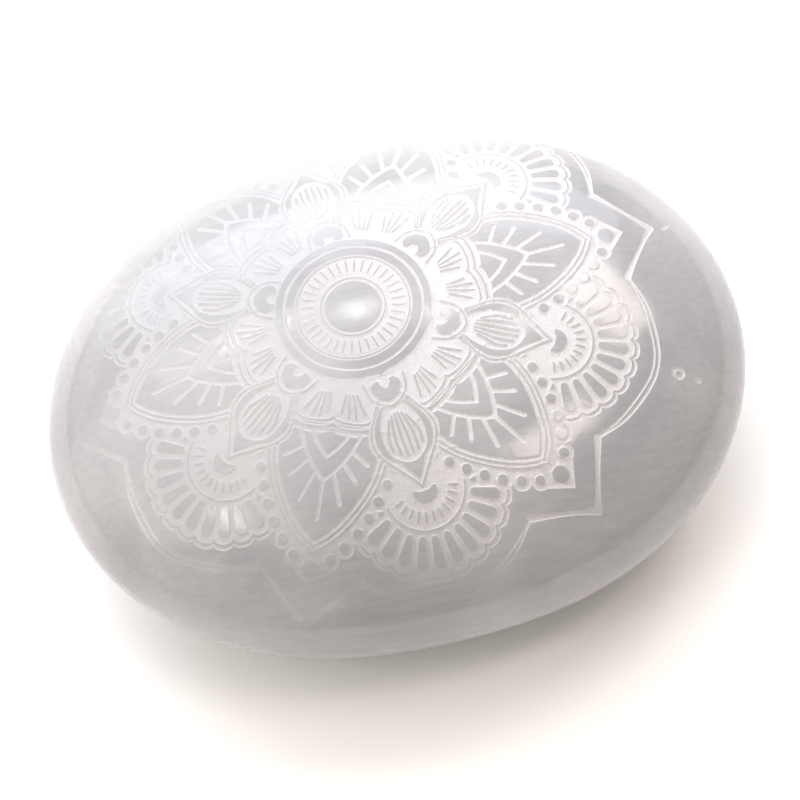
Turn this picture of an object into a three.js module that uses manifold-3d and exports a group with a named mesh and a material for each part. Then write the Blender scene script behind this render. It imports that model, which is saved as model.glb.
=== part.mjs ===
// A selenite palm stone with a six-fold flower mandala engraved on its upper face.
// Units are millimetres, +Z is up, and the origin is the middle of the small flat that it rests on.
// The stone is one solid: a flattened pebble whose engraved lines are shallow grooves that follow
// its curved surface at an even depth.
import * as THREE from 'three';
import { mergeVertices } from 'three/addons/utils/BufferGeometryUtils.js';
import Module from 'manifold-3d';

// The pebble
const HALF_LENGTH = 34.5;
const HALF_WIDTH = 26.4;
const HALF_HEIGHT = 12.4;
const SECTION_POWER = 2.04; // 2 is an ellipse from rim to crown, more is fuller
const FULLNESS = 0.028; // hand grinding leaves the plan this much fuller at its diagonals
const REST_CUT = 0.3; // how far the resting flat lies inside the round underside
const STONE_DETAIL = 6; // how often each facet of a plain icosahedron is split
const CROWN_SPREAD = 0.16; // moves facets from the flat crown to the tight curve of the rim

// The engraving
const MANDALA_X = -1.96; // its centre, from the middle of the stone
const MANDALA_Y = 4.06;
const MANDALA_TURN = THREE.MathUtils.degToRad(-22.1); // the first petal, from the long axis
const FOLDS = 6;
const GROOVE_DEPTH = 0.3;
const FLOOR_DETAIL = 3;
const REACH = 5.4; // grooves stop this far above the stone's middle, where the sides turn steep
const FINE = 0.4; // line widths
const MAIN = 0.5;
const BOLD = 0.7;

// Radii from the mandala's centre, and half-breadths across a motif's own axis
const DOME_RADIUS = 2.75;
const RING_RADIUS = 5.3;
const OUTER_RING_RADIUS = 7.1;
const RING_STEPS = 20;
const DROP = { foot: 7.3, tip: 10.8, half: 2.05 };
const LOBE = { foot: 11.1, top: 12.5, half: 1.8 };
const PETAL = { foot: 11.3, widest: 13.4, tip: 18.7, half: 3.1 };
const PETAL_STRIPES = { foot: 11.6, tip: 15.9, spacing: 1.2, count: 3 };
const LEAF = { foot: 14.2, widest: 15.8, tip: 23.1, half: 5.0 };
const ARCH = { foot: 12.9, tip: 17.2, half: 2.9 };
const RAYS = [
  // root and end of each ray on one side of a leaf, along and across its axis
  { root: [17.1, 0.0], end: [20.8, 0.0] },
  { root: [16.7, 1.0], end: [19.3, 1.95] },
  { root: [15.6, 1.9], end: [17.2, 3.2] },
  { root: [14.4, 2.5], end: [15.4, 4.1] },
];
const BEAD_BORDER = { foot: 22.9, breadth: 3.9, tip: 27.0 };
const SHELL = { centre: 18.9, hub: 4.05, cellFoot: 4.8, cellTip: 7.4, rim: 8.0, cells: 12 };
const SHELL_PITCH = THREE.MathUtils.degToRad(14.6);
const CONTOUR = { shoulder: 28.3, crown: 29.1, notch: 26.2, notchAngle: 18.8, corner: 29.8 };

const STONE_COLOUR = 0xd6d6d8;
const STONE_ROUGHNESS = 0.18;

// Half-breadth of the stone's plan in one direction
function planRadius(angle) {
  const ellipse = 1 / Math.hypot(Math.cos(angle) / HALF_LENGTH, Math.sin(angle) / HALF_WIDTH);
  return ellipse * (1 + FULLNESS * Math.sin(2 * angle) ** 2);
}

// A point of a unit ball moved to the same place on the stone, shrunk evenly by inset
function onStone(direction, inset) {
  const angle = Math.atan2(direction.y, direction.x);
  const fall = Math.acos(THREE.MathUtils.clamp(direction.z, -1, 1));
  const eased = fall + CROWN_SPREAD * Math.sin(2 * fall);
  const level = Math.sin(eased);
  const height = Math.cos(eased);
  const curve = Math.pow(
    Math.pow(level, SECTION_POWER) + Math.pow(Math.abs(height), SECTION_POWER), -1 / SECTION_POWER);
  const reach = (planRadius(angle) - inset) * level * curve;
  return new THREE.Vector3(
    reach * Math.cos(angle), reach * Math.sin(angle), (HALF_HEIGHT - inset) * height * curve);
}

const wasm = await Module();
wasm.setup();

function toSolid(geometry) {
  const bare = geometry.index ? geometry.toNonIndexed() : geometry.clone();
  bare.deleteAttribute('normal');
  bare.deleteAttribute('uv');
  const merged = mergeVertices(bare, 1e-5);
  return new wasm.Manifold(new wasm.Mesh({
    numProp: 3,
    vertProperties: new Float32Array(merged.attributes.position.array),
    triVerts: new Uint32Array(merged.index.array),
  }));
}

function toGeometry(solid) {
  const mesh = solid.getMesh();
  const geometry = new THREE.BufferGeometry();
  geometry.setAttribute('position', new THREE.BufferAttribute(mesh.vertProperties, 3));
  geometry.setIndex(new THREE.BufferAttribute(mesh.triVerts, 1));
  geometry.computeVertexNormals();
  return geometry;
}

// The pebble as a ball of even facets drawn out to the stone's shape
function pebble(detail, inset) {
  const ball = new THREE.IcosahedronGeometry(1, detail);
  const place = ball.attributes.position;
  const point = new THREE.Vector3();
  for (let i = 0; i < place.count; i += 1) {
    point.fromBufferAttribute(place, i).normalize();
    const moved = onStone(point, inset);
    place.setXYZ(i, moved.x, moved.y, moved.z);
  }
  return toSolid(ball);
}

function block(length, width, height, x, y, z) {
  return toSolid(new THREE.BoxGeometry(length, width, height).translate(x, y, z));
}

// A smooth line through points given as [along, across]
function curveThrough(points, steps) {
  const spline = new THREE.SplineCurve(points.map(([u, v]) => new THREE.Vector2(u, v)));
  return spline.getPoints(steps);
}

function arc(centre, radius, from, to, steps) {
  const points = [];
  for (let i = 0; i <= steps; i += 1) {
    const angle = from + ((to - from) * i) / steps;
    points.push(new THREE.Vector2(centre + radius * Math.cos(angle), radius * Math.sin(angle)));
  }
  return points;
}

// Both halves of a motif that is the same on either side of its axis, from one foot over the tip
function mirrored(half) {
  const back = half.slice(0, -1).reverse().map((p) => new THREE.Vector2(p.x, -p.y));
  return [...half, ...back];
}

// A groove's outline: a line of even width along points, closed on itself or with square ends
function strokeShape(points, width, closed = false) {
  const count = points.length;
  const sides = [[], []];
  for (let i = 0; i < count; i += 1) {
    const before = closed ? points[(i - 1 + count) % count] : points[Math.max(i - 1, 0)];
    const after = closed ? points[(i + 1) % count] : points[Math.min(i + 1, count - 1)];
    const arriving = points[i].clone().sub(before).normalize();
    const leaving = after.clone().sub(points[i]).normalize();
    const heading = arriving.clone().add(leaving).normalize();
    const straight = Math.max(0.45, heading.dot(arriving.lengthSq() > 0 ? arriving : leaving));
    const offset = new THREE.Vector2(-heading.y, heading.x).multiplyScalar(width / 2 / straight);
    sides[0].push(points[i].clone().add(offset));
    sides[1].push(points[i].clone().sub(offset));
  }
  if (!closed) return new THREE.Shape([...sides[0], ...sides[1].reverse()]);
  const area = THREE.ShapeUtils.area(sides[0]);
  const outer = area > THREE.ShapeUtils.area(sides[1]) ? 0 : 1;
  const shape = new THREE.Shape(sides[outer]);
  shape.holes.push(new THREE.Path(sides[1 - outer]));
  return shape;
}

// Each motif below gives its grooves in a frame whose X is its own axis from the mandala's centre
function rings() {
  const shapes = [];
  for (const [radius, width] of [[DOME_RADIUS, FINE], [RING_RADIUS, MAIN], [OUTER_RING_RADIUS, BOLD]]) {
    shapes.push(strokeShape(arc(0, radius, 0, 2 * Math.PI, RING_STEPS).slice(0, -1), width, true));
  }
  return shapes;
}

function drop() {
  const { foot, tip, half } = DROP;
  const side = curveThrough([[foot, half], [foot + 2.0, half * 0.88], [tip - 0.4, half * 0.44], [tip, 0]], 4);
  return [strokeShape(mirrored(side), MAIN)];
}

function petal() {
  const { foot, widest, tip, half } = PETAL;
  const side = curveThrough(
    [[foot, half * 0.62], [widest, half], [widest + 2, half * 0.8], [tip - 1.7, half * 0.4], [tip, 0]], 5);
  const shapes = [strokeShape(mirrored(side), MAIN)];
  for (let i = 0; i < PETAL_STRIPES.count; i += 1) {
    const place = i - (PETAL_STRIPES.count - 1) / 2;
    const across = place * PETAL_STRIPES.spacing;
    const root = new THREE.Vector2(PETAL_STRIPES.foot, across * 0.5);
    const end = new THREE.Vector2(PETAL_STRIPES.tip - Math.abs(place) * 0.6, across);
    shapes.push(strokeShape([root, end], FINE));
  }
  return shapes;
}

// Two small scallops side by side between neighbouring drops
function lobes() {
  const { foot, top, half } = LOBE;
  const steps = 8;
  const bumps = [];
  for (let i = 0; i <= steps; i += 1) {
    const rise = Math.abs(Math.sin((2 * Math.PI * i) / steps)) * (top - foot);
    bumps.push(new THREE.Vector2(foot + rise, half * (2 - (4 * i) / steps)));
  }
  return [strokeShape(bumps, FINE)];
}

function leaf() {
  const { foot, widest, tip, half } = LEAF;
  const side = curveThrough([
    [foot, half * 0.93], [widest, half], [widest + 3.8, half * 0.68], [tip - 1.7, half * 0.36], [tip, 0],
  ], 4);
  const shapes = [strokeShape(mirrored(side), BOLD)];
  const arch = curveThrough(
    [[ARCH.foot, ARCH.half], [(ARCH.foot + ARCH.tip) / 2 + 0.2, ARCH.half * 0.7], [ARCH.tip, 0]], 3);
  shapes.push(strokeShape(mirrored(arch), MAIN));
  for (const { root, end } of RAYS) {
    for (const hand of root[1] > 0 ? [1, -1] : [1]) {
      const line = [new THREE.Vector2(root[0], hand * root[1]), new THREE.Vector2(end[0], hand * end[1])];
      shapes.push(strokeShape(line, MAIN));
    }
  }
  const border = [
    new THREE.Vector2(BEAD_BORDER.foot, BEAD_BORDER.breadth), new THREE.Vector2(BEAD_BORDER.tip, 0),
  ];
  shapes.push(strokeShape(mirrored(border), MAIN));
  return shapes;
}

// A fan of long cells round the petal's tip
function shell() {
  const { centre, hub, cellFoot, cellTip, rim, cells } = SHELL;
  const reach = (cells / 2) * SHELL_PITCH;
  const shapes = [strokeShape(arc(centre, hub, -reach, reach, 7), BOLD)];
  for (let i = 1; i < cells; i += 1) {
    const angle = -reach + i * SHELL_PITCH;
    const wall = [cellFoot, cellTip].map(
      (r) => new THREE.Vector2(centre + r * Math.cos(angle), r * Math.sin(angle)));
    shapes.push(strokeShape(wall, FINE));
  }
  shapes.push(strokeShape(arc(centre, rim, -reach, reach, 9), MAIN));
  return shapes;
}

// One sixth of the line that runs round the whole flower, from corner to corner
function contour() {
  const notchAngle = THREE.MathUtils.degToRad(CONTOUR.notchAngle);
  const polar = (radius, angle) => [radius * Math.cos(angle), radius * Math.sin(angle)];
  const corner = new THREE.Vector2(...polar(CONTOUR.corner, Math.PI / FOLDS));
  const crown = curveThrough([
    polar(CONTOUR.notch, notchAngle), polar(CONTOUR.shoulder, notchAngle * 0.43), polar(CONTOUR.crown, 0),
  ], 4);
  return [strokeShape(mirrored([corner, ...crown]), BOLD)];
}

// Upright prisms over every groove's outline, cut away below the groove floor
function engravingTool() {
  const height = HALF_HEIGHT + 2 - REACH;
  const prisms = [];
  const add = (shapes, turn) => {
    for (const shape of shapes) {
      const prism = new THREE.ExtrudeGeometry(shape, { depth: height, bevelEnabled: false, steps: 1 });
      prism.rotateZ(MANDALA_TURN + turn).translate(MANDALA_X, MANDALA_Y, REACH);
      prisms.push(toSolid(prism));
    }
  };
  add(rings(), 0);
  for (let fold = 0; fold < FOLDS; fold += 1) {
    const turn = (fold * 2 * Math.PI) / FOLDS;
    add([...drop(), ...petal(), ...shell(), ...contour()], turn);
    add([...lobes(), ...leaf()], turn + Math.PI / FOLDS);
  }
  return prisms.reduce((all, prism) => all.add(prism)).subtract(pebble(FLOOR_DETAIL, GROOVE_DEPTH));
}

function palmStone() {
  const flatTop = -HALF_HEIGHT + REST_CUT;
  const below = block(3 * HALF_LENGTH, 3 * HALF_WIDTH, 10, 0, 0, flatTop - 5);
  const whole = pebble(STONE_DETAIL, 0).subtract(below);
  const carved = whole.subtract(engravingTool());
  return toGeometry(carved).translate(0, 0, -flatTop);
}

const selenite = new THREE.MeshStandardMaterial({
  color: STONE_COLOUR, roughness: STONE_ROUGHNESS, metalness: 0,
});

const stone = new THREE.Group();
const body = new THREE.Mesh(palmStone(), selenite);
body.name = 'palm_stone';
stone.add(body);

export default stone;
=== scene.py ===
"""An engraved selenite palm stone, dressed over its solid and lit as a bright studio picture.

The drawing of the engraving is kept in plan, in millimetres from the flower's own centre. It is laid on the
stone's crown, cut down where the tool went, and joined to the plain rim and underside as one closed mesh.
"""

import logging
import math
from collections.abc import Sequence
from dataclasses import dataclass
from enum import IntEnum

import bpy
import numpy as np
from mathutils import Matrix, Quaternion, Vector, kdtree
from mathutils.geometry import delaunay_2d_cdt


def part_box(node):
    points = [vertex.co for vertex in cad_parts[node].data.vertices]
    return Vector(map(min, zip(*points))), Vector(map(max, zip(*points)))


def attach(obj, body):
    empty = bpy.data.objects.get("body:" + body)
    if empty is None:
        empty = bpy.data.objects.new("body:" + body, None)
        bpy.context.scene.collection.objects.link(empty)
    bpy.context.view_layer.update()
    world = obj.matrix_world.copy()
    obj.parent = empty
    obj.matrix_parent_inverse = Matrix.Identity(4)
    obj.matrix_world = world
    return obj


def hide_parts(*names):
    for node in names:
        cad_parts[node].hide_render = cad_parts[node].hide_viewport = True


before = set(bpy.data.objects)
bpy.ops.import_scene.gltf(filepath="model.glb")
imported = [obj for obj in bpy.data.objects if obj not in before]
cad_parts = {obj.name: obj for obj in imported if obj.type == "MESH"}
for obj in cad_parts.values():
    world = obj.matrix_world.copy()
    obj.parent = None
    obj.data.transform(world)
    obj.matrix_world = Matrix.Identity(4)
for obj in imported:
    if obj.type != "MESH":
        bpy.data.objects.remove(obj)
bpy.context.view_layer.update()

LOG = logging.getLogger("palm_stone")
NODE = "palm_stone"
BITE = "bite"
WHITENESS = "cut_whiteness"
MM = 0.001
FOLDS = 6
SECTOR = 360 / FOLDS

# How finely lines are followed, in millimetres
CURVE_STEP = 0.3
STRAIGHT_STEP = 0.7
GROUND_STEP = 0.9
WALL_RUN = 0.09

Path = np.ndarray


class Finish(IntEnum):
    """What the tool left: the polished skin of the stone, or a frosted cut."""

    POLISHED = 0
    FROSTED = 1


# The two by name, because every motif below is laid out in them
POLISHED, FROSTED = Finish


def polar(radius: float, degrees: float, centre: float = 0.0) -> tuple[float, float]:
    """Gives the point at a radius and an angle about a centre on the X axis."""
    angle = math.radians(degrees)
    return centre + radius * math.cos(angle), radius * math.sin(angle)


def arc(radius: float, start: float, end: float, centre: float = 0.0, step: float = CURVE_STEP) -> Path:
    """Follows a round arc.

    Args:
        radius: of the arc, in mm.
        start: first angle, in degrees.
        end: last angle, in degrees.
        centre: where the arc's centre lies on the X axis.
        step: longest distance between points.

    Returns:
        The points, both ends included.
    """
    length = radius * math.radians(abs(end - start))
    count = max(6, math.ceil(length / step))
    return np.array([polar(radius, start + (end - start) * i / count, centre) for i in range(count + 1)])


def smooth(points: Sequence[tuple[float, float]], step: float = CURVE_STEP) -> Path:
    """Draws a smooth curve through points.

    Args:
        points: the places it passes through.
        step: longest distance between the points given back.

    Returns:
        The curve as close-set points.
    """
    fixed = np.array(points, dtype=float)
    padded = np.vstack([2 * fixed[0] - fixed[1], fixed, 2 * fixed[-1] - fixed[-2]])
    curve = []
    for i in range(len(fixed) - 1):
        a, b, c, d = padded[i : i + 4]
        count = max(1, math.ceil(np.linalg.norm(c - b) / step))
        for k in range(count):
            t = k / count
            curve.append(0.5 * (
                2 * b + (c - a) * t + (2 * a - 5 * b + 4 * c - d) * t**2 + (3 * b - a - 3 * c + d) * t**3
            ))
    curve.append(fixed[-1])
    return np.array(curve)


def straight(start: tuple[float, float], end: tuple[float, float], step: float = STRAIGHT_STEP) -> Path:
    """Gives a straight line as points no further apart than step.

    Args:
        start: first point.
        end: last point.
        step: longest distance between points.

    Returns:
        The points, both ends included.
    """
    a, b = np.array(start, dtype=float), np.array(end, dtype=float)
    count = max(1, math.ceil(np.linalg.norm(b - a) / step))
    return np.array([a + (b - a) * i / count for i in range(count + 1)])


def over_tip(half: Path) -> Path:
    """Completes one side of a motif, from foot to tip, with its mirror image across the X axis."""
    return np.vstack([half, half[-2::-1] * (1, -1)])


def offset(path: Path, distance: float | np.ndarray, closed: bool = False) -> Path:
    """Moves a path sideways, to its left for a positive distance.

    Args:
        path: the points.
        distance: one distance in mm, or one for each point.
        closed: whether the last point runs on to the first.

    Returns:
        The moved points.
    """
    ahead = np.roll(path, -1, axis=0) - path
    behind = path - np.roll(path, 1, axis=0)
    if not closed:
        ahead[-1] = behind[-1]
        behind[0] = ahead[0]
    ahead /= np.linalg.norm(ahead, axis=1, keepdims=True)
    behind /= np.linalg.norm(behind, axis=1, keepdims=True)
    heading = ahead + behind
    heading /= np.maximum(np.linalg.norm(heading, axis=1, keepdims=True), 1e-6)
    mitre = np.maximum((heading * ahead).sum(axis=1), 0.5)
    sideways = np.stack([-heading[:, 1], heading[:, 0]], axis=1)
    return path + sideways * (np.broadcast_to(distance, len(path)) / mitre)[:, None]


@dataclass(frozen=True)
class Mark:
    """One shape of the drawing, laid over those before it."""

    loops: tuple[Path, ...]
    finish: Finish

    def turned(self, degrees: float) -> "Mark":
        """Gives the mark turned about the flower's centre."""
        c, s = math.cos(math.radians(degrees)), math.sin(math.radians(degrees))
        return Mark(tuple(loop @ np.array([[c, s], [-s, c]]) for loop in self.loops), self.finish)

    def moved(self, x: float, y: float) -> "Mark":
        """Gives the mark shifted in plan."""
        return Mark(tuple(loop + (x, y) for loop in self.loops), self.finish)

    def covers(self, points: Path) -> np.ndarray:
        """Tells which points lie inside the mark.

        Args:
            points: places in plan.

        Returns:
            True for each point that the loops wind round.
        """
        inside = np.zeros(len(points), dtype=bool)
        low = np.min([loop.min(axis=0) for loop in self.loops], axis=0)
        high = np.max([loop.max(axis=0) for loop in self.loops], axis=0)
        near = np.flatnonzero(((points >= low) & (points <= high)).all(axis=1))
        if not len(near):
            return inside
        x, y = points[near, 0][:, None], points[near, 1][:, None]
        winding = np.zeros(len(near), dtype=int)
        for loop in self.loops:
            x0, y0 = loop[:, 0], loop[:, 1]
            x1, y1 = np.roll(x0, -1), np.roll(y0, -1)
            side = (x1 - x0) * (y - y0) - (x - x0) * (y1 - y0)
            winding += ((y0 <= y) & (y1 > y) & (side > 0)).sum(axis=1)
            winding -= ((y0 > y) & (y1 <= y) & (side < 0)).sum(axis=1)
        inside[near] = winding != 0
        return inside


def fill(loop: Path, finish: Finish) -> Mark:
    """Covers the inside of a closed loop."""
    return Mark((loop,), finish)


def line(path: Path, width: float | np.ndarray, finish: Finish, round_ends: bool = False) -> Mark:
    """Draws an open line of some breadth.

    Args:
        path: the line's middle.
        width: its breadth in mm, or one for each point.
        finish: what it leaves.
        round_ends: whether it ends as a round-nosed tool leaves it.

    Returns:
        The mark.
    """
    half = np.broadcast_to(width, len(path)) / 2
    left, right = offset(path, half), offset(path, -half)
    if not round_ends:
        return Mark((np.vstack([left, right[::-1]]),), finish)
    caps = []
    for end, before, radius in ((path[-1], path[-2], half[-1]), (path[0], path[1], half[0])):
        heading = math.atan2(*(end - before)[::-1])
        turns = [heading + math.pi / 2 - math.pi * i / 5 for i in range(1, 5)]
        caps.append(np.array([end + radius * np.array([math.cos(t), math.sin(t)]) for t in turns]))
    return Mark((np.vstack([left, caps[0], right[::-1], caps[1]]),), finish)


def ring(radius: float, width: float, finish: Finish, centre: float = 0.0) -> Mark:
    """Draws a closed round line.

    Args:
        radius: of the line's middle.
        width: its breadth.
        finish: what it leaves.
        centre: where its centre lies on the X axis.

    Returns:
        The mark.
    """
    step = min(CURVE_STEP, radius / 2)
    outer = arc(radius + width / 2, 0, 360, centre, step)[:-1]
    inner = arc(radius - width / 2, 360, 0, centre, step)[:-1]
    return Mark((outer, inner), finish)


def disc(radius: float, finish: Finish, x: float = 0.0, y: float = 0.0) -> Mark:
    """Covers a round spot."""
    return fill(arc(radius, 0, 360, step=min(CURVE_STEP, radius / 2))[:-1] + (x, y), finish)


@dataclass(frozen=True)
class Heart:
    """The domed middle, the band of fine strokes round it, and the plain ring outside."""

    dome: float = 2.7
    band: float = 5.75
    stroke_foot: float = 3.75
    stroke_tip: float = 5.1
    stroke_width: float = 0.15
    strokes: int = 36
    ring_radius: float = 6.68
    ring_width: float = 0.34
    hair_line: float = 0.1
    hair_in_band: float = 0.28
    hair_off_dome: float = 0.42
    field: float = 7.5
    shift: tuple[float, float] = (-0.23, 0.3)

    def marks(self) -> list[Mark]:
        """Draws the middle of the flower.

        Returns:
            Its marks, about the flower's centre.
        """
        marks = [
            disc(self.field, POLISHED),
            ring(self.ring_radius, self.ring_width, FROSTED),
            disc(self.band, FROSTED),
            ring(self.band - self.hair_in_band, self.hair_line, POLISHED),
            ring(self.dome + self.hair_off_dome, self.hair_line, POLISHED),
            disc(self.dome, POLISHED),
        ]
        stroke = line(straight((self.stroke_foot, 0), (self.stroke_tip, 0)), self.stroke_width, POLISHED)
        return marks + [stroke.turned(360 * i / self.strokes) for i in range(self.strokes)]


@dataclass(frozen=True)
class Drop:
    """A small pointed drop that stands on the ring, on each petal's axis."""

    line_width: float = 0.14

    def marks(self) -> list[Mark]:
        """Draws one drop.

        Returns:
            Its marks, with the drop's axis along X.
        """
        edge = over_tip(smooth([(7.5, 2.5), (9.2, 2.25), (10.4, 1.35), (11.2, 0)]))
        inner = over_tip(smooth([(7.8, 2.0), (9.3, 1.8), (10.3, 1.02), (10.75, 0)]))
        hollow = over_tip(smooth([(8.0, 0.95), (8.4, 1.4), (9.2, 1.35), (9.85, 0.75), (10.15, 0)]))
        tongue = over_tip(smooth([(7.6, 0.55), (8.5, 0.48), (8.95, 0)]))
        return [
            fill(edge, FROSTED),
            line(inner, self.line_width, POLISHED),
            fill(hollow, POLISHED),
            fill(tongue, FROSTED),
        ]


@dataclass(frozen=True)
class Lobes:
    """Two small striped scallops side by side between neighbouring drops."""

    half: float = 1.8
    edge: tuple[float, float] = (12.5, 12.98)
    outer_line: tuple[float, float] = (11.9, 12.35)
    inner_line: tuple[float, float] = (11.15, 11.72)
    line_width: float = 0.14
    stripe_foot: float = 8.9
    stripe_tip: float = 11.25
    stripe_width: float = 0.19
    stripes: int = 4

    def scallop(self, notch: float, top: float) -> Path:
        """Follows both bumps.

        Args:
            notch: radius of the notches beside them.
            top: radius of their tops.

        Returns:
            The points, from one side to the other.
        """
        across = np.linspace(2 * self.half, -2 * self.half, 49)
        rise = np.sqrt(np.clip(1 - (np.abs(np.abs(across) - self.half) / self.half) ** 2, 0, 1))
        return np.stack([notch + (top - notch) * rise, across], axis=1)

    def marks(self) -> list[Mark]:
        """Draws the pair.

        Returns:
            Its marks, with the axis between the two along X.
        """
        foot = [(6.5, -3.9), (6.5, 3.9)]
        marks = [
            fill(np.vstack([self.scallop(*self.edge), foot]), FROSTED),
            line(self.scallop(*self.outer_line), self.line_width, POLISHED),
            line(self.scallop(*self.inner_line), self.line_width, POLISHED),
        ]
        for side in (-1, 1):
            for i in range(self.stripes):
                place = 2 * i / (self.stripes - 1) - 1
                foot_y = side * self.half * 0.72 + 0.5 * place
                tip_y = side * self.half + 1.15 * place
                tip_x = self.stripe_tip - 0.55 * place**2
                path = straight((self.stripe_foot, foot_y), (tip_x, tip_y))
                marks.append(line(path, self.stripe_width, POLISHED, round_ends=True))
        return marks


@dataclass(frozen=True)
class Petal:
    """A pointed petal with a striped body inside a double edge."""

    foot: float = 10.6
    widest: float = 13.7
    edge: tuple[float, float] = (3.5, 19.3)
    edge_line: tuple[float, float] = (3.12, 18.85)
    hollow: tuple[float, float] = (2.72, 18.15)
    line_width: float = 0.15
    body: tuple[float, float] = (2.1, 16.45)
    stripes: int = 6
    stripe_width: float = 0.24

    def outline(self, half: float, tip: float) -> Path:
        """Follows a pointed outline.

        Args:
            half: its half-breadth at the widest place.
            tip: the radius at which its point lies.

        Returns:
            The points, from one side of the foot to the other.
        """
        return over_tip(
            smooth([
                (self.foot, half * 0.45), (self.foot + 1.5, half * 0.84), (self.widest, half),
                (self.widest + 1.5, half * 0.86), (tip - 2.2, half * 0.52), (tip - 0.9, half * 0.2), (tip, 0),
            ])
        )

    def marks(self) -> list[Mark]:
        """Draws one petal.

        Returns:
            Its marks, with the petal's axis along X.
        """
        half, tip = self.body
        body = over_tip(
            smooth([
                (self.foot, half * 0.5), (self.widest - 1.6, half * 0.85), (self.widest, half),
                (tip - 1.2, half * 0.84), (tip - 0.3, half * 0.42), (tip, 0),
            ])
        )
        marks = [
            fill(self.outline(*self.edge), FROSTED),
            line(self.outline(*self.edge_line), self.line_width, POLISHED),
            fill(self.outline(*self.hollow), POLISHED),
            fill(body, FROSTED),
        ]
        for i in range(self.stripes):
            place = 2 * i / (self.stripes - 1) - 1
            foot = (self.foot + 0.9 + 0.5 * place**2, half * 0.4 * place)
            bend = (self.widest, half * 0.72 * place)
            end = (tip - 0.75 - 0.9 * place**2, half * 0.7 * place)
            path = smooth([foot, bend, end], 0.5)
            marks.append(line(path, self.stripe_width, POLISHED, round_ends=True))
        return marks


@dataclass(frozen=True)
class Leaf:
    """A broad leaf with rays on an arch, edged by fine lines and a chain of beads."""

    edge_width: float = 1.75
    line_width: float = 0.13
    edge_lines: tuple[float, float] = (0.48, 0.95)
    stroke_width: float = 0.46
    bead: float = 0.47
    bead_gap: float = 1.75
    bead_rim: float = 0.95
    corner_bead: float = 0.8
    corner_bead_at: float = 25.3
    corner: float = 27.05

    @staticmethod
    def ground() -> Path:
        """Follows the edge of the polished ground inside the leaf.

        Returns:
            The points, from one side of the foot to the other.
        """
        return over_tip(
            smooth([
                (12.4, 4.2), (14.0, 4.6), (15.4, 4.62), (17.0, 4.25), (18.5, 3.6), (20.0, 2.72),
                (21.2, 1.8), (22.1, 0.85), (22.7, 0),
            ])
        )

    def beads(self) -> list[tuple[float, float]]:
        """Spaces the beads evenly from the leaf's tip down one side.

        Returns:
            Their middles.
        """
        side = [(24.25, 1.75), (22.8, 3.15), (21.4, 4.2), (19.7, 5.05), (18.0, 5.7), (14.8, 6.75)]
        path = smooth(side, 0.05)
        run = np.concatenate([[0], np.cumsum(np.linalg.norm(np.diff(path, axis=0), axis=1))])
        places = np.arange(0, run[-1], self.bead_gap)
        return [(float(np.interp(s, run, path[:, 0])), float(np.interp(s, run, path[:, 1]))) for s in places]

    def edging(self) -> list[Mark]:
        """Draws the bead chain and the lines along the leaf's edge.

        Returns:
            Their marks.
        """
        ground = self.ground()
        beads = [(x, side * y) for side in (1, -1) for x, y in self.beads()]
        corner = np.array([(self.corner, 0), (25.2, 1.9), (23.0, 0), (25.2, -1.9)])
        return [
            *(disc(self.bead_rim, FROSTED, x, y) for x, y in beads),
            fill(corner, FROSTED),
            fill(offset(ground, self.edge_width), FROSTED),
            disc(self.corner_bead, POLISHED, self.corner_bead_at),
            *(disc(self.bead, POLISHED, x, y) for x, y in beads),
            *(line(offset(ground, distance), self.line_width, POLISHED) for distance in self.edge_lines),
        ]

    def marks(self) -> list[Mark]:
        """Draws one leaf.

        Returns:
            Its marks, with the leaf's axis along X.
        """
        arch = over_tip(smooth([(12.5, 2.95), (13.9, 2.45), (15.3, 1.7), (16.5, 0.82), (17.35, 0)]))
        small_arch = over_tip(smooth([(12.6, 1.85), (13.6, 1.3), (14.4, 0.65), (15.05, 0)]))
        rays = [
            straight((17.1, 0), (20.9, 0)),
            straight((16.7, 0.95), (19.3, 1.95)),
            straight((15.6, 1.8), (17.15, 3.2)),
            straight((14.3, 2.4), (15.35, 4.0)),
        ]
        marks = [*self.edging(), fill(self.ground(), POLISHED)]
        marks += [line(path, self.stroke_width, FROSTED) for path in (arch, small_arch)]
        for path in rays:
            sides = (1, -1) if path[0][1] > 0 else (1,)
            marks += [line(path * (1, side), self.stroke_width, FROSTED, round_ends=True) for side in sides]
        return marks


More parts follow.
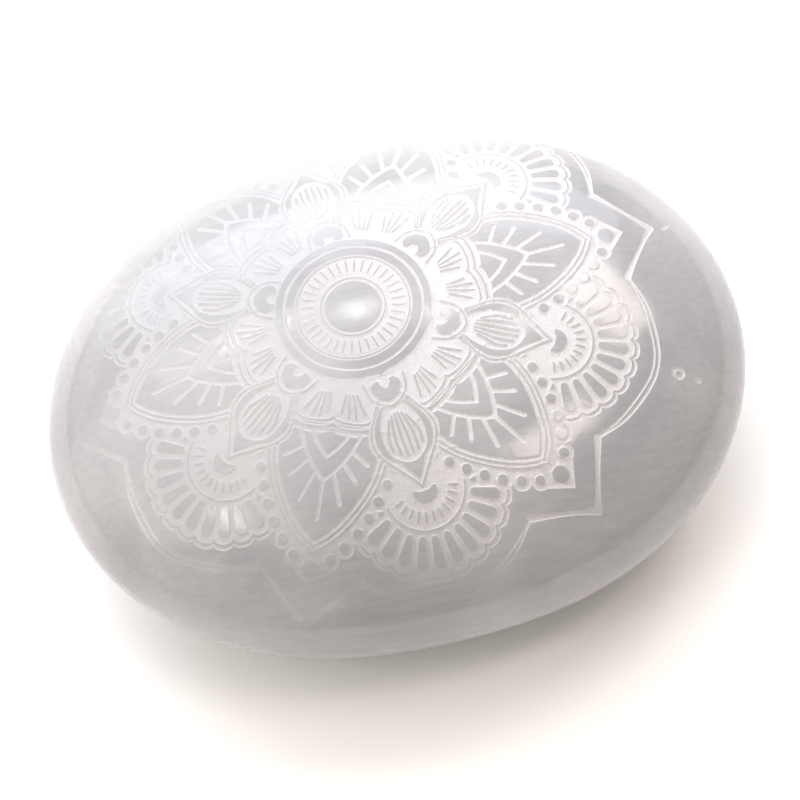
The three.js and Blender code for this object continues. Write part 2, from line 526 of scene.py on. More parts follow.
@dataclass(frozen=True)
class Shell:
    """A fan of long cells round each petal's tip, with fine strokes about a crescent inside it."""

    centre: float = 18.9
    cells: int = 12
    pitch: float = 14.6
    cell_foot: float = 4.45
    cell_tip: float = 7.25
    cell_width: float = 1.1
    edge: float = 7.95
    edge_line: float = 7.5
    bulge: float = 0.42
    line_width: float = 0.14
    hub_line: float = 3.95
    dashes: int = 11
    dash_foot: float = 2.3
    dash_tip: float = 3.25
    dash_width: float = 0.2
    dash_pitch: float = 15.0

    def scallop(self, radius: float) -> Path:
        """Follows a scalloped rim with one bump for each cell.

        Args:
            radius: of its notches, from the shell's centre.

        Returns:
            The points.
        """
        reach = self.pitch * self.cells / 2
        angles = np.linspace(-reach, reach, self.cells * 8 + 1)
        across = (angles + reach) / self.pitch % 1 * 2 - 1
        bump = self.bulge * np.sqrt(np.clip(1 - across**2, 0, 1))
        return np.array([polar(radius + b, a, self.centre) for a, b in zip(angles, bump, strict=True)])

    def marks(self) -> list[Mark]:
        """Draws one shell.

        Returns:
            Its marks, with the shell's axis along X.
        """
        behind = [(self.centre - 2.5, self.edge * 0.9), (self.centre - 2.5, -self.edge * 0.9)]
        marks = [
            fill(np.vstack([self.scallop(self.edge), behind]), FROSTED),
            line(self.scallop(self.edge_line), self.line_width, POLISHED),
            line(arc(self.hub_line, -100, 100, self.centre), self.line_width, POLISHED),
        ]
        path = straight((self.cell_foot + 0.3, 0), (self.cell_tip - self.cell_width / 2, 0))
        widths = np.linspace(self.cell_width * 0.6, self.cell_width, len(path))
        cell = line(path, widths, POLISHED, round_ends=True)
        dash = line(straight((self.dash_foot, 0), (self.dash_tip, 0)), self.dash_width, POLISHED)
        for mark, count, pitch in ((cell, self.cells, self.pitch), (dash, self.dashes, self.dash_pitch)):
            for i in range(count):
                marks.append(mark.turned((i - (count - 1) / 2) * pitch).moved(self.centre, 0))
        horn = smooth([(19.25, 0), (19.3, 0.35), (19.0, 1.12), (19.6, 1.12), (20.15, 0.72), (20.38, 0)])
        marks.append(fill(over_tip(horn), POLISHED))
        return marks


@dataclass(frozen=True)
class Contour:
    """The line round the whole flower, double over each shell and brushed thick at its corners."""

    corner: float = 29.75
    notch: float = 26.1
    notch_angle: float = 18.8
    outer_width: float = 0.3
    inner_width: float = 0.24

    def marks(self) -> list[Mark]:
        """Draws one sixth of the line.

        Returns:
            Its marks, with the shell's axis along X.
        """
        outer = over_tip(smooth([
            polar(self.notch + 0.1, self.notch_angle), polar(27.5, 13.3), polar(28.35, 8), polar(28.95, 3.2),
            polar(29.1, 0),
        ]))
        inner = over_tip(smooth([
            polar(self.notch - 0.05, self.notch_angle), polar(27.15, 13.1), polar(27.85, 8), polar(28.5, 3.2),
            polar(28.66, 0),
        ]))
        marks = [line(outer, self.outer_width, FROSTED), line(inner, self.inner_width, FROSTED)]
        for side in (1, -1):
            foot, tip = polar(self.notch, side * self.notch_angle), polar(self.corner, side * SECTOR / 2)
            path = straight(foot, tip, 0.4)
            run = np.linspace(0, 1, len(path))
            widths = 0.38 + 0.36 * (1 - run) ** 3 + 0.4 * run**6
            marks.append(line(path, widths, FROSTED, round_ends=True))
        return marks


@dataclass(frozen=True)
class Dots:
    """A ringed dot and a spot outside each shell, and a dash outside each corner.

    They stand so far out that only one set of the six still lies on the engraved crown.
    """

    out: float = 31.0
    spot_out: float = 32.9

    def marks(self) -> list[Mark]:
        """Draws the dots of one sector.

        Returns:
            Their marks, with the shell's axis along X.
        """
        dash = line(straight((31.1, -0.15), (31.6, 0.2)), 0.5, FROSTED, round_ends=True)
        return [
            disc(0.66, FROSTED, self.out),
            disc(0.24, POLISHED, self.out),
            disc(0.33, FROSTED, self.spot_out),
            dash.turned(SECTOR / 2),
        ]


@dataclass(frozen=True)
class Mandala:
    """The whole drawing, placed on the stone's plan."""

    x: float = -1.96
    y: float = 4.06
    turn: float = -22.1

    def drawing(self) -> list[Mark]:
        """Lays the motifs over each other, those nearer the middle last.

        Returns:
            All marks in the stone's plan, in the order that they cover each other.
        """
        on_petals, between = 0.0, SECTOR / 2
        order = [
            (Contour(), on_petals), (Dots(), on_petals), (Shell(), on_petals), (Leaf(), between),
            (Petal(), on_petals), (Lobes(), between), (Drop(), on_petals),
        ]
        marks = []
        for motif, start in order:
            sector = motif.marks()
            for fold in range(FOLDS):
                marks += [mark.turned(start + fold * SECTOR) for mark in sector]
        placed = [mark.turned(self.turn).moved(self.x, self.y) for mark in marks]
        heart = Heart()
        x, y = self.x + heart.shift[0], self.y + heart.shift[1]
        return placed + [mark.turned(self.turn).moved(x, y) for mark in heart.marks()]


@dataclass(frozen=True)
class Pebble:
    """The stone's form: an oval in plan, near an ellipse in section, with a small flat below."""

    half_length: float
    half_width: float
    half_height: float
    rest_cut: float = 0.3
    section_power: float = 2.04
    fullness: float = 0.028

    @classmethod
    def from_node(cls, node: str, rest_cut: float = 0.3) -> "Pebble":
        """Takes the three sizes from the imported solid.

        Args:
            node: the solid's name.
            rest_cut: how much of the underside its flat takes off, in mm.

        Returns:
            The form, in mm.
        """
        low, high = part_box(node)
        length, width, height = ((high - low) / MM)[:]
        return cls(length / 2, width / 2, (height + rest_cut) / 2, rest_cut)

    @property
    def middle(self) -> float:
        """The height of the stone's widest level above the floor, in mm."""
        return self.half_height - self.rest_cut

    def plan_radius(self, angle: np.ndarray) -> np.ndarray:
        """Gives the half-breadth of the plan in each direction, in mm."""
        ellipse = 1 / np.hypot(np.cos(angle) / self.half_length, np.sin(angle) / self.half_width)
        return ellipse * (1 + self.fullness * np.sin(2 * angle) ** 2)

    def share(self, plan: Path) -> np.ndarray:
        """Gives how far each point in plan lies from the axis, as a share of the way to the rim."""
        return np.hypot(plan[:, 0], plan[:, 1]) / self.plan_radius(np.arctan2(plan[:, 1], plan[:, 0]))

    def share_at(self, height: float) -> float:
        """Gives the share at which the crown has come down to this height over the widest level."""
        return (1 - (height / self.half_height) ** self.section_power) ** (1 / self.section_power)

    def lift(self, plan: Path) -> np.ndarray:
        """Sets points in plan on the crown.

        Args:
            plan: x and y in mm.

        Returns:
            x, y and z, with z measured from the widest level.
        """
        share = np.clip(self.share(plan), 0, 1)
        height = self.half_height * (1 - share**self.section_power) ** (1 / self.section_power)
        return np.column_stack([plan, height])

    def normals(self, points: np.ndarray) -> np.ndarray:
        """Gives the outward direction of the polished skin at points on it.

        Args:
            points: x, y and z from the widest level, in mm.

        Returns:
            Unit vectors.
        """
        small = 0.01
        plan = points[:, :2]
        slopes = []
        for step in ((small, 0), (0, small)):
            ahead = self.share(plan + step) ** self.section_power
            behind = self.share(plan - step) ** self.section_power
            slopes.append((ahead - behind) / (2 * small))
        rise = self.section_power * np.abs(points[:, 2] / self.half_height) ** (self.section_power - 1)
        slopes.append(rise * np.sign(points[:, 2]) / self.half_height)
        outward = np.column_stack(slopes)
        return outward / np.maximum(np.linalg.norm(outward, axis=1, keepdims=True), 1e-9)


@dataclass
class CarvedSkin:
    """The stone's outer surface as one closed mesh, cut down where it is frosted.

    The sizes are in mm. Engraving stops at the level reach over the widest one. It is lost at the level
    focus_lost and full from focus_full on, where focus_slope adds to a point's level by its x and y. From
    faint_left to white_right the cuts grow to their full depth and whiteness; the whiteness lost towards the
    left is painted shade.
    """

    form: Pebble
    mandala: Mandala
    depth: float = 0.08
    reach: float = 3.8
    focus_lost: float = 4.0
    focus_full: float = 9.0
    focus_slope: tuple[float, float] = (0.055, 0.036)
    # From faint_left to white_right the cuts deepen and whiten; the whiteness held back at the left is
    # painted shade
    faint_left: float = -11.5
    white_right: float = 8.0
    least_white: float = 0.1
    least_deep: float = 0.5
    columns: int = 240
    rim_rows: int = 44

    def finish_at(self, marks: list[Mark], points: Path) -> np.ndarray:
        """Finds which finish the last mark over each point leaves.

        Args:
            marks: the drawing.
            points: places in plan.

        Returns:
            A Finish for each point.
        """
        finish = np.full(len(points), int(POLISHED))
        for mark in marks:
            finish[mark.covers(points)] = mark.finish
        return finish

    def border(self) -> Path:
        """Follows the level at which the engraving stops.

        Returns:
            The points in plan.
        """
        angles = self.column_angles()
        radius = self.form.plan_radius(angles) * self.form.share_at(self.reach)
        return np.stack([radius * np.cos(angles), radius * np.sin(angles)], axis=1)

    def column_angles(self) -> np.ndarray:
        """Spaces the columns of the rim evenly round the stone."""
        return -math.pi + np.arange(self.columns) * 2 * math.pi / self.columns

    def bite(self, skin: np.ndarray) -> np.ndarray:
        """Tells how well the engraving beam marked the stone, from 0 to 1 at each point of its skin."""
        # In focus over the crown's middle; lost where the stone falls away, first at the front and left
        level = skin[:, 2] + skin[:, :2] @ self.focus_slope
        return smoothstep((level - self.focus_lost) / (self.focus_full - self.focus_lost))

    def toward_right(self, skin: np.ndarray, least: float) -> np.ndarray:
        """Gives a share for each point of the skin, from the least at the left to 1 at the right."""
        # Cuts grow shallower and greyer towards the stone's left. The greying is painted shade: it stands in
        # for the left softbox's bright reflection on the polish there, which leaves the frost no brighter
        # than the polish
        across = smoothstep((skin[:, 0] - self.faint_left) / (self.white_right - self.faint_left))
        return least + (1 - least) * across

    def inside(self, points: Path, margin: float) -> Path:
        """Keeps the points within the engraved level, less a margin."""
        return points[self.form.share(points) < self.form.share_at(self.reach) * margin]

    def ground_and_feet(self, marks: list[Mark], outlines: Path) -> Path:
        """Chooses points for the open ground and for the foot of each cut's wall.

        Args:
            marks: the drawing.
            outlines: points set closely along every outline.

        Returns:
            The points, none of them nearly on an outline.
        """
        tree = nearest_tree(outlines)

        def clear(points: Path, distance: float) -> Path:
            """Keeps the points at least this far from every outline."""
            return points[distances(tree, points) >= distance]

        feet = [
            offset(loop, side, closed=True)
            for mark in marks for loop in mark.loops for side in (WALL_RUN, -WALL_RUN)
        ]
        feet = self.inside(np.vstack(feet), 0.998)
        feet = clear(feet[self.finish_at(marks, feet) == FROSTED], WALL_RUN * 0.85)
        feet = feet[np.unique(np.round(feet / (WALL_RUN * 1.5)), axis=0, return_index=True)[1]]
        xs = np.arange(-self.form.half_length, self.form.half_length, GROUND_STEP)
        ys = np.arange(-self.form.half_width, self.form.half_width, GROUND_STEP)
        grid = np.array([(x + GROUND_STEP / 2 * (j % 2), y) for j, y in enumerate(ys) for x in xs])
        return np.vstack([feet, clear(self.inside(grid, 0.985), 0.2)])

    def crown(self, marks: list[Mark]) -> tuple[Path, np.ndarray, np.ndarray]:
        """Divides the crown's plan along every outline of the drawing.

        Args:
            marks: the drawing.

        Returns:
            The points in plan, the triangles, and each triangle's finish.
        """
        limit = self.form.share_at(self.reach)
        border = self.border()
        loops = [border]
        for mark in marks:
            loops += [loop for loop in mark.loops if (self.form.share(loop) < limit * 1.05).any()]
        edges = []
        start = 0
        for loop in loops:
            count = len(loop)
            edges += [(start + i, start + (i + 1) % count) for i in range(count)]
            start += count
        outlines = np.vstack([along(loop, np.roll(loop, -1, axis=0), 0.1) for loop in loops])
        points = np.vstack([*loops, self.ground_and_feet(marks, outlines)])
        found, _, faces, *_ = delaunay_2d_cdt([Vector(p) for p in points], edges, [], 0, 1e-5)
        plan = np.array([tuple(v) for v in found])
        triangles = np.array(faces, dtype=int)
        a, b, c = (plan[triangles[:, i]] for i in range(3))
        area = (b[:, 0] - a[:, 0]) * (c[:, 1] - a[:, 1]) - (c[:, 0] - a[:, 0]) * (b[:, 1] - a[:, 1])
        middle = (a + b + c) / 3
        kept = fill(border, POLISHED).covers(middle) & (area > 1e-7)
        triangles = triangles[kept]
        return plan, triangles, self.finish_at(marks, middle[kept])

    def cut_depths(self, plan: Path, triangles: np.ndarray, finish: np.ndarray) -> np.ndarray:
        """Works out how far down each point of the crown is cut.

        Args:
            plan: the points.
            triangles: of the crown.
            finish: each triangle's.

        Returns:
            The depths, in mm: none on polished skin, full at the foot of a cut's wall and beyond.
        """
        edges, users, frosted = edge_use(triangles, finish == FROSTED)
        steps = edges[(users == 1) | ((frosted > 0) & (frosted < users))]
        samples = along(plan[steps[:, 0]], plan[steps[:, 1]], 0.04)
        run = distances(nearest_tree(samples), plan) / WALL_RUN
        depth = self.depth * smoothstep(run)
        depth[np.unique(triangles[finish == POLISHED])] = 0
        return depth

    def build(self) -> bpy.types.Object:
        """Makes the mesh.

        Returns:
            The stone, in metres, with each face's material number set by its finish.
        """
        marks = self.mandala.drawing()
        plan, triangles, finish = self.crown(marks)
        used = np.unique(triangles)
        renumbered = np.full(len(plan), -1)
        renumbered[used] = np.arange(len(used))
        plan, triangles = plan[used], renumbered[triangles]
        skin = self.form.lift(plan)
        outward = self.form.normals(skin)
        bite = self.bite(skin)
        depths = bite * self.toward_right(skin, self.least_deep) * self.cut_depths(plan, triangles, finish)
        crown = skin - outward * depths[:, None]
        edges, users, _ = edge_use(triangles, finish == FROSTED)
        ring = np.unique(edges[users == 1])
        ring = ring[np.argsort(np.arctan2(plan[ring, 1], plan[ring, 0]))]

        rim, lower_rows = self.rim(len(crown))
        rim_triangles = self.zip_rows([ring, *lower_rows], np.vstack([crown, rim]))
        bottom = np.vstack([crown, rim, [0, 0, self.form.rest_cut - self.form.half_height]])
        last, hub = lower_rows[-1], len(bottom) - 1
        flat = np.array([(hub, b, a) for a, b in zip(last, np.roll(last, -1), strict=True)])
        faces = np.vstack([triangles, rim_triangles, flat])
        normals = np.vstack([
            self.crown_normals(crown, outward, triangles, finish),
            self.form.normals(bottom)[rim_triangles.ravel()],
            np.tile((0.0, 0.0, -1.0), (3 * len(flat), 1)),
        ])
        slots = np.concatenate([finish, np.full(len(rim_triangles) + len(flat), int(POLISHED))])

        mesh = bpy.data.meshes.new(NODE)
        mesh.from_pydata(((bottom + (0, 0, self.form.middle)) * MM).tolist(), [], faces.tolist())
        mesh.shade_smooth()
        mesh.polygons.foreach_set("material_index", slots.astype(np.int32))
        mesh.normals_split_custom_set(normals.tolist())
        # The cuts' whiteness includes painted shade, greyer towards the stone's left
        for name, values in ((BITE, bite), (WHITENESS, bite * self.toward_right(skin, self.least_white))):
            marked = mesh.attributes.new(name, "FLOAT", "POINT")
            everywhere = np.pad(values, (0, len(bottom) - len(values)))
            marked.data.foreach_set("value", everywhere.astype(np.float32))
        mesh.update()
        stone = bpy.data.objects.new("selenite_palm_stone", mesh)
        bpy.context.collection.objects.link(stone)
        return stone

    def crown_normals(
        self, points: np.ndarray, outward: np.ndarray, triangles: np.ndarray, finish: np.ndarray
    ) -> np.ndarray:
        """Shades the polished skin as the true curve, and the cuts by their own slopes.

        Args:
            points: of the crown, with the cuts.
            outward: the polished skin's directions at them.
            triangles: of the crown.
            finish: each triangle's.

        Returns:
            A direction for each corner of each triangle.
        """
        a, b, c = (points[triangles[:, i]] for i in range(3))
        facing = np.cross(b - a, c - a)
        cut = finish == FROSTED
        own = np.zeros_like(points)
        for i in range(3):
            np.add.at(own, triangles[cut, i], facing[cut])
        own /= np.maximum(np.linalg.norm(own, axis=1, keepdims=True), 1e-12)
        corners = outward[triangles.ravel()]
        from_cut = np.repeat(cut, 3)
        corners[from_cut] = own[triangles.ravel()][from_cut]
        return corners

    def rim(self, first: int) -> tuple[np.ndarray, list[np.ndarray]]:
        """Sets out the rows of points below the engraved level, down to the flat.

        Args:
            first: the number that the first point gets.

        Returns:
            The points, and the numbers of each row's.
        """
        power = self.form.section_power
        lowest = self.form.rest_cut - self.form.half_height
        start, end = (
            math.copysign(math.asin((abs(z) / self.form.half_height) ** (power / 2)), z)
            for z in (self.reach, lowest)
        )
        angles = self.column_angles()
        radius = self.form.plan_radius(angles)
        rows = []
        for i in range(1, self.rim_rows + 1):
            turn = start + (end - start) * i / self.rim_rows
            share = math.cos(turn) ** (2 / power)
            height = self.form.half_height * math.copysign(abs(math.sin(turn)) ** (2 / power), turn)
            rows.append(np.column_stack([
                radius * share * np.cos(angles), radius * share * np.sin(angles),
                np.full(self.columns, height),
            ]))
        numbers = [first + i * self.columns + np.arange(self.columns) for i in range(self.rim_rows)]
        return np.vstack(rows), numbers

    @staticmethod
    def zip_rows(rows: list[np.ndarray], points: np.ndarray) -> np.ndarray:
        """Joins each row of points round the stone to the next one below it.

        Args:
            rows: the numbers of each row's points, in order of their direction from the axis.
            points: all points.

        Returns:
            The triangles.
        """
        triangles = []
        for upper, lower in zip(rows, rows[1:], strict=False):
            turns = [np.arctan2(points[row, 1], points[row, 0]).tolist() for row in (upper, lower)]
            for turn in turns:
                turn.append(turn[0] + 2 * math.pi)
            i = j = 0
            while i < len(upper) or j < len(lower):
                a, b = upper[i % len(upper)], lower[j % len(lower)]
                if j == len(lower) or (i < len(upper) and turns[0][i + 1] <= turns[1][j + 1]):
                    i += 1
                    triangles.append((a, b, upper[i % len(upper)]))
                else:
                    j += 1
                    triangles.append((a, b, lower[j % len(lower)]))
        return np.array(triangles)


def smoothstep(value: np.ndarray) -> np.ndarray:
    """Eases from 0 to 1 as the value goes from 0 to 1."""
    t = np.clip(value, 0, 1)
    return t * t * (3 - 2 * t)


def along(starts: Path, ends: Path, step: float) -> Path:
    """Sets points no further apart than step along straight lines.

    Args:
        starts: where each line starts.
        ends: where each line ends.
        step: longest distance between points.

    Returns:
        The points, without the ends.
    """
    counts = np.maximum(1, np.ceil(np.linalg.norm(ends - starts, axis=1) / step).astype(int))
    parts = [a + (b - a) * np.arange(n)[:, None] / n for a, b, n in zip(starts, ends, counts, strict=True)]
    return np.vstack(parts)


def nearest_tree(points: Path) -> kdtree.KDTree:
    """Sorts points in plan so that the nearest one to a place is found quickly.

    Args:
        points: their x and y.

    Returns:
        The tree.
    """
    tree = kdtree.KDTree(len(points))
    for i, (x, y) in enumerate(points.tolist()):
        tree.insert((x, y, 0.0), i)
    tree.balance()
    return tree


def distances(tree: kdtree.KDTree, points: Path) -> np.ndarray:
    """Measures how far each point in plan lies from the nearest one in a tree."""
    return np.array([tree.find((x, y, 0.0))[2] for x, y in points.tolist()])


def edge_use(triangles: np.ndarray, chosen: np.ndarray) -> tuple[np.ndarray, np.ndarray, np.ndarray]:
    """Counts the triangles at each edge.

    Args:
        triangles: the mesh's.
        chosen: True for each triangle of the kind that is counted apart.

    Returns:
        The edges, how many triangles each has, and how many of those are chosen.
    """
    sides = np.sort(np.vstack([triangles[:, [0, 1]], triangles[:, [1, 2]], triangles[:, [2, 0]]]), axis=1)
    edges, place = np.unique(sides, axis=0, return_inverse=True)
    place = place.ravel()
    users = np.bincount(place, minlength=len(edges))
    picked = np.bincount(place, weights=np.tile(chosen, 3), minlength=len(edges)).astype(int)
    return edges, users, picked


def linear(hex_colour: str) -> tuple[float, float, float, float]:
    """Turns an sRGB hex colour into the linear one that Blender works in.

    Args:
        hex_colour: such as "#D8D4CF".

    Returns:
        Red, green, blue and an alpha of 1.
    """
    parts = [int(hex_colour[i : i + 2], 16) / 255 for i in (1, 3, 5)]
    red, green, blue = (v / 12.92 if v <= 0.04045 else ((v + 0.055) / 1.055) ** 2.4 for v in parts)
    return red, green, blue, 1.0


def add_node(
    tree: bpy.types.NodeTree, kind: str, inputs: dict[str | int, object] | None = None, **settings: object
) -> bpy.types.Node:
    """Adds a node, sets it up and joins its inputs.

    Args:
        tree: where it goes.
        kind: the node's type.
        inputs: a value, or a socket to link from, for each input by name or number.
        settings: the node's own properties.

    Returns:
        The node.
    """
    node = tree.nodes.new(kind)
    for name, value in settings.items():
        setattr(node, name, value)
    for name, value in (inputs or {}).items():
        if isinstance(value, bpy.types.NodeSocket):
            tree.links.new(value, node.inputs[name])
        else:
            node.inputs[name].default_value = value
    return node


def mixed_colour(
    tree: bpy.types.NodeTree, share: bpy.types.NodeSocket, first: object, second: object
) -> bpy.types.NodeSocket:
    """Mixes two colours, or sockets that give them, by the share of the second."""
    mix = add_node(tree, "ShaderNodeMix", {0: share, 6: first, 7: second}, data_type="RGBA")
    return mix.outputs[2]


def per_metre(millimetres: float) -> float:
    """Gives the texture scale at which one feature of a pattern is this long."""
    return 1 / (millimetres * MM)


def new_material(name: str) -> tuple[bpy.types.Material, bpy.types.NodeTree]:
    """Starts a material with no nodes.

    Args:
        name: what it is called.

    Returns:
        The material and its tree.
    """
    material = bpy.data.materials.new(name)
    material.use_nodes = True
    material.node_tree.nodes.clear()
    return material, material.node_tree


@dataclass(frozen=True)
class SatinSpar:
    """Selenite of the fibrous kind: parallel crystal fibres that glow a milky grey some millimetres deep."""

    body: str = "#9C9B9D"
    milky: str = "#AEADAD"
    fibre_width: float = 0.5
    fibre_length: float = 14.0
    cloud: float = 16.0
    ior: float = 1.525
    glow: float = 5.0

    def fibres(self, tree: bpy.types.NodeTree, place: bpy.types.NodeSocket) -> bpy.types.NodeSocket:
        """Adds the pattern of the fibres, which run along the stone.

        Args:
            tree: the material's.
            place: coordinates on the stone, in metres.

        Returns:
            A value from 0 to 1.
        """
        # Real fibres are about 0.1 mm across, which is one dot of the picture, so bundles of them are drawn
        bundles = add_node(tree, "ShaderNodeMapping", {
            "Vector": place,
            "Scale": (per_metre(self.fibre_length), per_metre(self.fibre_width), per_metre(self.fibre_width)),
        })
        noise = add_node(tree, "ShaderNodeTexNoise", {
            "Vector": bundles.outputs["Vector"], "Scale": 1.0, "Detail": 3.0, "Roughness": 0.55,
        })
        return noise.outputs["Fac"]

    def colour(
        self, tree: bpy.types.NodeTree, place: bpy.types.NodeSocket, fibres: bpy.types.NodeSocket
    ) -> bpy.types.NodeSocket:
        """Adds the colour of the stone's body, cloudy and faintly streaked.

        Args:
            tree: the material's.
            place: coordinates on the stone, in metres.
            fibres: their pattern.

        Returns:
            The colour.
        """
        clouds = add_node(tree, "ShaderNodeTexNoise", {
            "Vector": place, "Scale": per_metre(self.cloud), "Detail": 2.0, "Roughness": 0.5,
            "Distortion": 0.4,
        })
        share = add_node(tree, "ShaderNodeMix", {"Factor": 0.7, "A": fibres, "B": clouds.outputs["Fac"]})
        spread = add_node(tree, "ShaderNodeMapRange", {
            "Value": share.outputs["Result"], "From Min": 0.36, "From Max": 0.64,
        })
        return mixed_colour(tree, spread.outputs["Result"], linear(self.body), linear(self.milky))


@dataclass(frozen=True)
class BuffedSkin:
    """Satin spar tumbled and buffed smooth.

    It gives soft reflections over a deep grey glow. The buffing leaves the soft stone faintly uneven, which
    breaks up the edges of each highlight.
    """

    name: str = "selenite_satin_spar_buffed"
    ripple: float = 0.45
    roughness: float = 0.12

    def material(self, spar: SatinSpar) -> bpy.types.Material:
        """Makes the material.

        Args:
            spar: the stone's body.

        Returns:
            The material, for the skin that the tool left alone.
        """
        material, tree = new_material(self.name)
        place = add_node(tree, "ShaderNodeTexCoord").outputs["Object"]
        fibres = spar.fibres(tree, place)
        waves = add_node(tree, "ShaderNodeTexNoise", {
            "Vector": place, "Scale": per_metre(self.ripple), "Detail": 2.0, "Roughness": 0.6,
        })
        hollows = add_node(tree, "ShaderNodeBump", {
            "Height": waves.outputs["Fac"], "Strength": 0.2, "Distance": 0.05 * MM,
        })
        relief = add_node(tree, "ShaderNodeBump", {
            "Height": fibres, "Strength": 0.05, "Distance": 0.05 * MM, "Normal": hollows.outputs["Normal"],
        })
        shader = add_node(tree, "ShaderNodeBsdfPrincipled", {
            "Base Color": spar.colour(tree, place, fibres), "Roughness": self.roughness, "IOR": spar.ior,
            "Subsurface Weight": 1.0, "Subsurface Radius": (1.0, 1.0, 1.0),
            "Subsurface Scale": spar.glow * MM, "Normal": relief.outputs["Normal"],
        })
        add_node(tree, "ShaderNodeOutputMaterial", {"Surface": shader.outputs["BSDF"]})
        return material


@dataclass(frozen=True)
class EngravedFace:
    """Satin spar whose fibres a fine engraving beam has broken up.

    The crushed face scatters light where it lands, so a cut looks chalk-white and dull beside the polish.
    Where the beam was out of focus it only dulled the polish.
    """

    name: str = "selenite_satin_spar_engraved"
    chalk: str = "#C4C1C2"
    shade: str = "#B4B2B2"
    crumb: float = 0.22
    buffed: float = 0.12
    roughness: float = 0.46
    shine: float = 1.1
    glow: float = 1.4

    def material(self, spar: SatinSpar) -> bpy.types.Material:
        """Makes the material.

        Args:
            spar: the stone's body.

        Returns:
            The material, for the engraved lines and fields.
        """
        material, tree = new_material(self.name)
        place = add_node(tree, "ShaderNodeTexCoord").outputs["Object"]
        bite = add_node(tree, "ShaderNodeAttribute", attribute_name=BITE).outputs["Fac"]
        # Whiteness fades where the beam lost focus, and towards the stone's left as painted shade
        white = add_node(tree, "ShaderNodeAttribute", attribute_name=WHITENESS).outputs["Fac"]
        # The beam's crumb is about 0.05 mm; it is drawn four times as coarse so that it shows
        crumbs = add_node(tree, "ShaderNodeTexNoise", {
            "Vector": place, "Scale": per_metre(self.crumb), "Detail": 2.0, "Roughness": 0.6,
        })
        spread = add_node(tree, "ShaderNodeMapRange", {
            "Value": crumbs.outputs["Fac"], "From Min": 0.32, "From Max": 0.6,
        })
        crushed = mixed_colour(tree, spread.outputs["Result"], linear(self.shade), linear(self.chalk))
        body = spar.colour(tree, place, spar.fibres(tree, place))
        dullness = add_node(tree, "ShaderNodeMapRange", {
            "Value": bite, "To Min": self.buffed, "To Max": self.roughness,
        })
        strength = add_node(tree, "ShaderNodeMath", {0: bite, 1: 0.5}, operation="MULTIPLY")
        relief = add_node(tree, "ShaderNodeBump", {
            "Height": crumbs.outputs["Fac"], "Strength": strength.outputs["Value"], "Distance": 0.06 * MM,
        })
        shader = add_node(tree, "ShaderNodeBsdfPrincipled", {
            "Base Color": mixed_colour(tree, white, body, crushed), "Roughness": dullness.outputs["Result"],
            "IOR": spar.ior, "Specular IOR Level": self.shine, "Subsurface Weight": 0.8,
            "Subsurface Radius": (1.0, 1.0, 1.0), "Subsurface Scale": self.glow * MM,
            "Normal": relief.outputs["Normal"],
        })
        add_node(tree, "ShaderNodeOutputMaterial", {"Surface": shader.outputs["BSDF"]})
        return material


@dataclass(frozen=True)
class MattPaper:
    """Plain white background paper, which only catches the stone's shadow."""

    name: str = "background_paper_matt"
    white: str = "#FBFAF9"

    def material(self) -> bpy.types.Material:
        """Makes the material.

        Returns:
            It, for the floor.
        """
        material, tree = new_material(self.name)
        shader = add_node(tree, "ShaderNodeBsdfPrincipled", {
            "Base Color": linear(self.white), "Roughness": 0.9, "Specular IOR Level": 0.2,
        })
        add_node(tree, "ShaderNodeOutputMaterial", {"Surface": shader.outputs["BSDF"]})
        return material


@dataclass
class PalmStone:
    """The whole piece: one solid stone, engraved on its crown."""

    spar: SatinSpar
    skin: BuffedSkin
    cut: EngravedFace

    def build(self) -> bpy.types.Object:
        """Makes and dresses the stone, in place of its plain solid.

        Returns:
            The stone.
        """
        stone = CarvedSkin(Pebble.from_node(NODE), Mandala()).build()
        stone.data.materials.append(self.skin.material(self.spar))
        stone.data.materials.append(self.cut.material(self.spar))
        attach(stone, "root")
        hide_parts(NODE)
        return stone


def direction(bearing: float, height: float) -> Vector:
    """Gives the way towards a point round the stone.

    Args:
        bearing: degrees from +X towards +Y.
        height: degrees above the floor.

    Returns:
        A unit vector.
    """
    turn, rise = math.radians(bearing), math.radians(height)
    return Vector((math.cos(turn) * math.cos(rise), math.sin(turn) * math.cos(rise), math.sin(rise)))


@dataclass(frozen=True)
class Softbox:
    """A plain rectangular studio light, aimed at the stone.

    It stands at a bearing and height, in degrees, and a distance. Lengths are in metres and the power in
    watts. A turn swings it about its own aim, in degrees.
    """

    name: str
    bearing: float
    height: float
    distance: float
    width: float
    length: float
    power: float
    colour: str = "#FFFFFF"
    turn: float = 0.0

    def place(self, aim: Vector) -> bpy.types.Object:
        """Adds the light.

        Args:
            aim: the point that it faces.

        Returns:
            The light.
        """
        data = bpy.data.lights.new(self.name, "AREA")
        data.shape = "RECTANGLE"
        data.size, data.size_y = self.width, self.length
        data.energy = self.power
        data.color = linear(self.colour)[:3]
        light = bpy.data.objects.new(self.name, data)
        away = direction(self.bearing, self.height)
        light.location = aim + away * self.distance
        faced = away.to_track_quat("Z", "Y") @ Quaternion((0, 0, 1), math.radians(self.turn))
        light.rotation_euler = faced.to_euler()
        bpy.context.collection.objects.link(light)
        return light


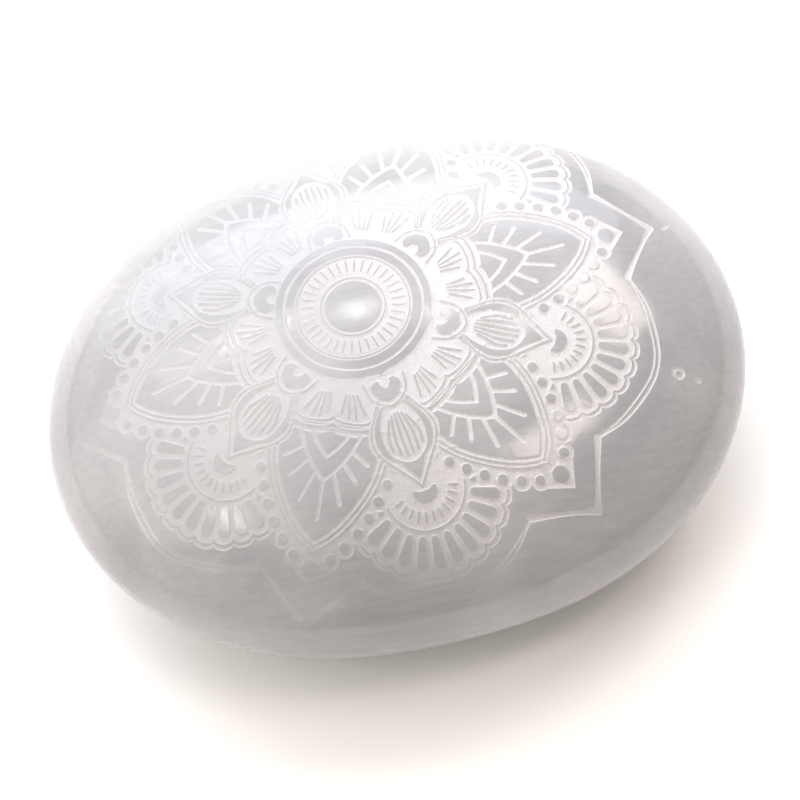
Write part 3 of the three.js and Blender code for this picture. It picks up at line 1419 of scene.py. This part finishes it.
@dataclass(frozen=True)
class TableCamera:
    """The camera over the table, looking well down and tilted a little."""

    azimuth: float = 0.15
    elevation: float = 66.445
    roll: float = -12.583
    distance: float = 0.401776
    aim_right: float = 0.000459
    aim_up: float = -0.000886
    focal_widths: float = 5.13515
    sensor: float = 36.0

    def place(self, middle: Vector) -> bpy.types.Object:
        """Adds the camera.

        Args:
            middle: the stone's middle.

        Returns:
            The camera, which is also the scene's.
        """
        back = direction(self.azimuth - 90, self.elevation)
        level = direction(self.azimuth, 0)
        upright = back.cross(level)
        c, s = math.cos(math.radians(self.roll)), math.sin(math.radians(self.roll))
        right = c * level + s * upright
        up = c * upright - s * level
        data = bpy.data.cameras.new("camera")
        data.sensor_width = self.sensor
        data.lens = self.focal_widths * self.sensor
        data.clip_start, data.clip_end = 0.01, 20
        camera = bpy.data.objects.new("camera", data)
        place = middle + right * self.aim_right + up * self.aim_up + back * self.distance
        camera.matrix_world = Matrix.Translation(place) @ Matrix((right, up, back)).transposed().to_4x4()
        bpy.context.collection.objects.link(camera)
        bpy.context.scene.camera = camera
        return camera


@dataclass
class Studio:
    """The white table, its lights and the camera."""

    paper: MattPaper
    table_side: float = 3.0
    sky: str = "#FFF7EE"
    sky_strength: float = 0.32

    def floor(self) -> bpy.types.Object:
        """Lays the paper under the stone.

        Returns:
            The floor.
        """
        half = self.table_side / 2
        mesh = bpy.data.meshes.new("floor")
        corners = [(-half, -half, 0), (half, -half, 0), (half, half, 0), (-half, half, 0)]
        mesh.from_pydata(corners, [], [(0, 1, 2, 3)])
        mesh.materials.append(self.paper.material())
        floor = bpy.data.objects.new("floor", mesh)
        bpy.context.collection.objects.link(floor)
        return floor

    def lights(self, aim: Vector) -> list[bpy.types.Object]:
        """Sets the lights round the stone.

        Args:
            aim: the point they face.

        Returns:
            The lights.
        """
        boxes = [
            Softbox("back_low_softbox", 95, 12, 1.0, 1.4, 0.35, 1.7, "#F6F9FF"),
            Softbox("back_softbox", 88, 30, 1.1, 1.5, 0.45, 7.7, "#EBF1FF"),
            Softbox("back_high_softbox", 88, 50, 1.1, 1.5, 0.45, 5.6, "#F1F4FF"),
            Softbox("back_window", 95, 28, 1.0, 0.45, 0.25, 1.1, "#EEF2FF"),
            Softbox("ceiling_lamp_1", 119, 52, 0.9, 0.1, 0.04, 0.16),
            Softbox("ceiling_lamp_2", 107, 55, 0.9, 0.03, 0.02, 0.07),
            Softbox("ceiling_lamp_3", 94, 58, 0.9, 0.03, 0.025, 0.12),
            Softbox("ceiling_lamp_4", 76, 62, 0.9, 0.03, 0.03, 0.1),
            Softbox("ceiling_lamp_5", 54, 61, 0.9, 0.06, 0.03, 0.12),
            Softbox("left_softbox", 165, 55, 0.9, 0.9, 0.8, 3.6, "#FFFAF7"),
            Softbox("left_high_wall", 190, 48, 0.9, 0.9, 0.7, 0.18, "#FFFAF7"),
            Softbox("left_low_softbox", 150, 18, 0.9, 0.9, 0.4, 0.8),
            Softbox("left_wall", 205, 22, 0.8, 1.6, 0.6, 1.9, "#FFF6EC"),
            Softbox("left_lamp", 197, 58, 0.9, 0.12, 0.08, 0.3, "#FFF8EE"),
            Softbox("right_high_softbox", 12, 60, 0.9, 0.85, 0.75, 0.3, "#FFFAF7"),
            Softbox("right_window", 37, 46, 0.9, 0.28, 0.2, 1.65, "#FFF2E5"),
            Softbox("right_strip", -12, 68, 0.9, 0.27, 0.13, 1.0, "#FFF4EA", -42),
            Softbox("top_softbox", 90, 86, 0.9, 0.4, 0.4, 0.6, "#FFFCFB"),
            Softbox("top_back_softbox", 80, 70, 0.9, 0.5, 0.35, 0.6),
        ]
        return [box.place(aim) for box in boxes]

    def surroundings(self) -> None:
        """Gives the room a dim even light, and shows plain display colours."""
        scene = bpy.context.scene
        world = bpy.data.worlds.new("studio_room")
        world.use_nodes = True
        room = world.node_tree.nodes["Background"]
        room.inputs["Color"].default_value = linear(self.sky)
        room.inputs["Strength"].default_value = self.sky_strength
        scene.world = world
        scene.view_settings.view_transform = "Standard"
        scene.view_settings.look = "None"
        scene.view_settings.exposure = 0.0


def main() -> None:
    """Builds the stone and its studio in order, and reports each piece."""
    stone = PalmStone(SatinSpar(), BuffedSkin(), EngravedFace()).build()
    LOG.info("%s: %d triangles", stone.name, len(stone.data.polygons))
    low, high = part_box(NODE)
    middle = Vector((0, 0, (low.z + high.z) / 2))
    studio = Studio(MattPaper())
    LOG.info("%s laid", studio.floor().name)
    for light in studio.lights(middle):
        LOG.info("%s set", light.name)
    studio.surroundings()
    LOG.info("%s set", TableCamera().place(middle).name)


if __name__ == "__main__":
    logging.basicConfig(level=logging.INFO, format="%(message)s")
    main()
